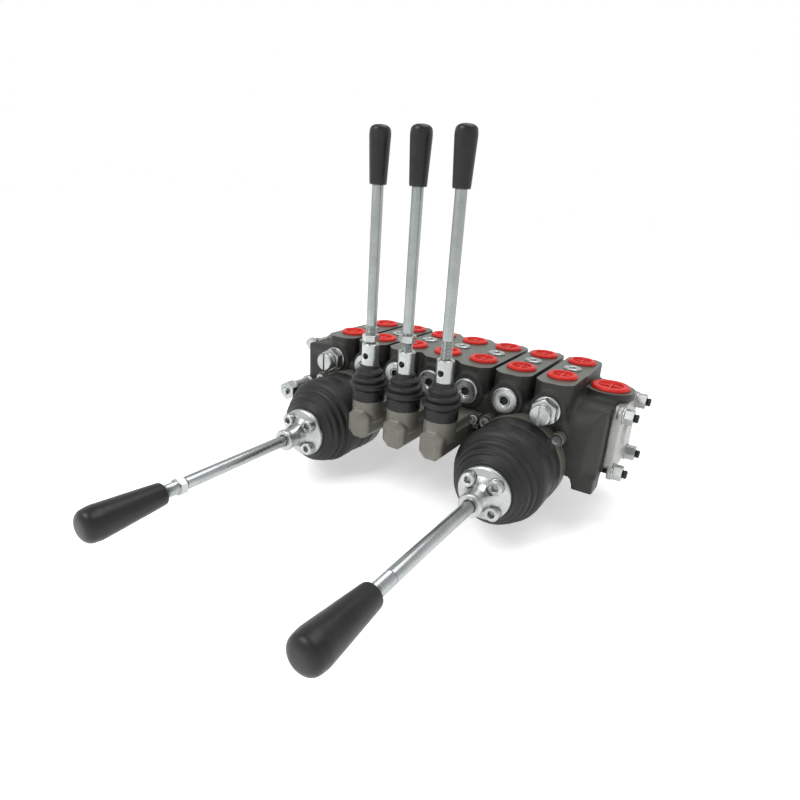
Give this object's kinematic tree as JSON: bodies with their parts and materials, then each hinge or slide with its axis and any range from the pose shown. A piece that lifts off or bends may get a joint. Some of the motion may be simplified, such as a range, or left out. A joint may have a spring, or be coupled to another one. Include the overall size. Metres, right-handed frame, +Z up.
{
  "type": "hydraulic monoblock valve",
  "caption": "Monoblock directional control valve: a row of spools in one cast body, worked by upright hand levers in the middle and a two-axis joystick at each end.",
  "frame": {"origin": "centre of the four mounting holes, on the underside of the feet", "axes": "+Z up, +X along the row of sections towards the inlet end, -Y towards the levers"},
  "size_m": [0.382, 0.476, 0.3245],
  "materials": {
    "cast_body": "dark painted casting, matte",
    "cast_alloy": "bead-blasted light alloy casting",
    "zinc_steel": "clear zinc plate",
    "steel": "ground steel",
    "black_steel": "black oxide",
    "red_plastic": "moulded, satin",
    "black_plastic": "satin black",
    "rubber": "matte black rubber",
    "gasket": "fibre sheet"
  },
  "bodies": {
    "base": {"valve_body": "cast_body", "work_port_plugs": "red_plastic", "inlet_plug": "red_plastic", "tank_plug": "red_plastic", "load_check_plugs": "zinc_steel", "load_check_poppets": "steel", "load_check_springs": "steel", "blanking_plugs": "zinc_steel", "relief_cartridges": "zinc_steel", "relief_adjusters": "zinc_steel", "inlet_cover": "cast_alloy", "outlet_cover": "cast_alloy", "cover_gaskets": "gasket", "cover_studs": "black_steel", "cover_nuts": "zinc_steel", "spool_seals": "rubber", "spring_caps": "cast_body", "spring_cap_screws": "zinc_steel", "centring_springs": "steel", "spring_seats": "steel", "lever_boxes": "cast_alloy", "lever_box_screws": "zinc_steel", "lever_collars": "black_steel", "lever_pivot_pins": "steel", "lever_boots": "rubber", "joystick_housings": "cast_alloy", "joystick_housing_screws": "zinc_steel", "joystick_boots": "rubber"},
    "spool_1": {"spool_1": "steel"},
    "spool_2": {"spool_2": "steel"},
    "spool_3": {"spool_3": "steel"},
    "spool_4": {"spool_4": "steel"},
    "spool_5": {"spool_5": "steel"},
    "spool_6": {"spool_6": "steel"},
    "spool_7": {"spool_7": "steel"},
    "lever_1": {"lever_arm_1": "zinc_steel", "lever_rod_1": "zinc_steel", "lever_knob_1": "black_plastic", "lever_lock_nut_1": "zinc_steel"},
    "lever_2": {"lever_arm_2": "zinc_steel", "lever_rod_2": "zinc_steel", "lever_knob_2": "black_plastic", "lever_lock_nut_2": "zinc_steel"},
    "lever_3": {"lever_arm_3": "zinc_steel", "lever_rod_3": "zinc_steel", "lever_knob_3": "black_plastic", "lever_lock_nut_3": "zinc_steel"},
    "cross_left": {"joint_cross_left": "steel"},
    "joystick_left": {"swash_plate_left": "steel", "joystick_cap_left": "zinc_steel", "joystick_cap_screws_left": "zinc_steel", "joystick_rod_left": "zinc_steel", "joystick_knob_left": "black_plastic", "joystick_lock_nut": "zinc_steel"},
    "cross_right": {"joint_cross_right": "steel"},
    "joystick_right": {"swash_plate_right": "steel", "joystick_cap_right": "zinc_steel", "joystick_cap_screws_right": "zinc_steel", "joystick_rod_right": "zinc_steel", "joystick_knob_right": "black_plastic"}
  },
  "joints": [
    {"name": "spool_1_slide", "type": "slide", "parent": "base", "child": "spool_1", "axis": [0, 1, 0], "range_m": [-0.006, 0.006], "deforming": ["centring_springs", "spring_seats"]},
    {"name": "spool_2_slide", "type": "slide", "parent": "base", "child": "spool_2", "axis": [0, 1, 0], "range_m": [-0.006, 0.006]},
    {"name": "spool_3_slide", "type": "slide", "parent": "base", "child": "spool_3", "axis": [0, 1, 0], "range_m": [-0.006, 0.006]},
    {"name": "spool_4_slide", "type": "slide", "parent": "base", "child": "spool_4", "axis": [0, 1, 0], "range_m": [-0.006, 0.006]},
    {"name": "spool_5_slide", "type": "slide", "parent": "base", "child": "spool_5", "axis": [0, 1, 0], "range_m": [-0.006, 0.006]},
    {"name": "spool_6_slide", "type": "slide", "parent": "base", "child": "spool_6", "axis": [0, 1, 0], "range_m": [-0.006, 0.006]},
    {"name": "spool_7_slide", "type": "slide", "parent": "base", "child": "spool_7", "axis": [0, 1, 0], "range_m": [-0.006, 0.006]},
    {"name": "lever_1_tilt", "type": "hinge", "parent": "base", "child": "lever_1", "pos_m": [-0.04, -0.115, 0.051], "axis": [1, 0, 0], "range_deg": [-18, 18], "stiffness_Nm_per_rad": 6, "deforming": ["lever_boots"]},
    {"name": "lever_2_tilt", "type": "hinge", "parent": "base", "child": "lever_2", "pos_m": [0, -0.115, 0.051], "axis": [1, 0, 0], "range_deg": [-18, 18], "stiffness_Nm_per_rad": 6},
    {"name": "lever_3_tilt", "type": "hinge", "parent": "base", "child": "lever_3", "pos_m": [0.04, -0.115, 0.051], "axis": [1, 0, 0], "range_deg": [-18, 18], "stiffness_Nm_per_rad": 6},
    {"name": "joystick_left_tilt_a", "type": "hinge", "parent": "base", "child": "cross_left", "pos_m": [-0.1, -0.092, 0.012], "axis": [-0.7071, 0, 0.7071], "range_deg": [-12.1, 12.1], "stiffness_Nm_per_rad": 20, "deforming": ["joystick_boots"]},
    {"name": "joystick_left_tilt_b", "type": "hinge", "parent": "cross_left", "child": "joystick_left", "pos_m": [-0.1, -0.092, 0.012], "axis": [0.7071, 0, 0.7071], "range_deg": [-12.1, 12.1], "stiffness_Nm_per_rad": 20},
    {"name": "joystick_right_tilt_a", "type": "hinge", "parent": "base", "child": "cross_right", "pos_m": [0.1, -0.092, 0.012], "axis": [-0.7071, 0, 0.7071], "range_deg": [-12.1, 12.1], "stiffness_Nm_per_rad": 20},
    {"name": "joystick_right_tilt_b", "type": "hinge", "parent": "cross_right", "child": "joystick_right", "pos_m": [0.1, -0.092, 0.012], "axis": [0.7071, 0, 0.7071], "range_deg": [-12.1, 12.1], "stiffness_Nm_per_rad": 20}
  ],
  "couplings": [
    {"joint": "spool_3_slide", "follows": "lever_1_tilt", "m_per_rad": 0.019},
    {"joint": "spool_4_slide", "follows": "lever_2_tilt", "m_per_rad": 0.019},
    {"joint": "spool_5_slide", "follows": "lever_3_tilt", "m_per_rad": 0.019},
    {"joint": "spool_2_slide", "follows": "joystick_left_tilt_a", "m_per_rad": 0.028284},
    {"joint": "spool_1_slide", "follows": "joystick_left_tilt_b", "m_per_rad": -0.028284},
    {"joint": "spool_7_slide", "follows": "joystick_right_tilt_a", "m_per_rad": 0.028284},
    {"joint": "spool_6_slide", "follows": "joystick_right_tilt_b", "m_per_rad": -0.028284}
  ]
}
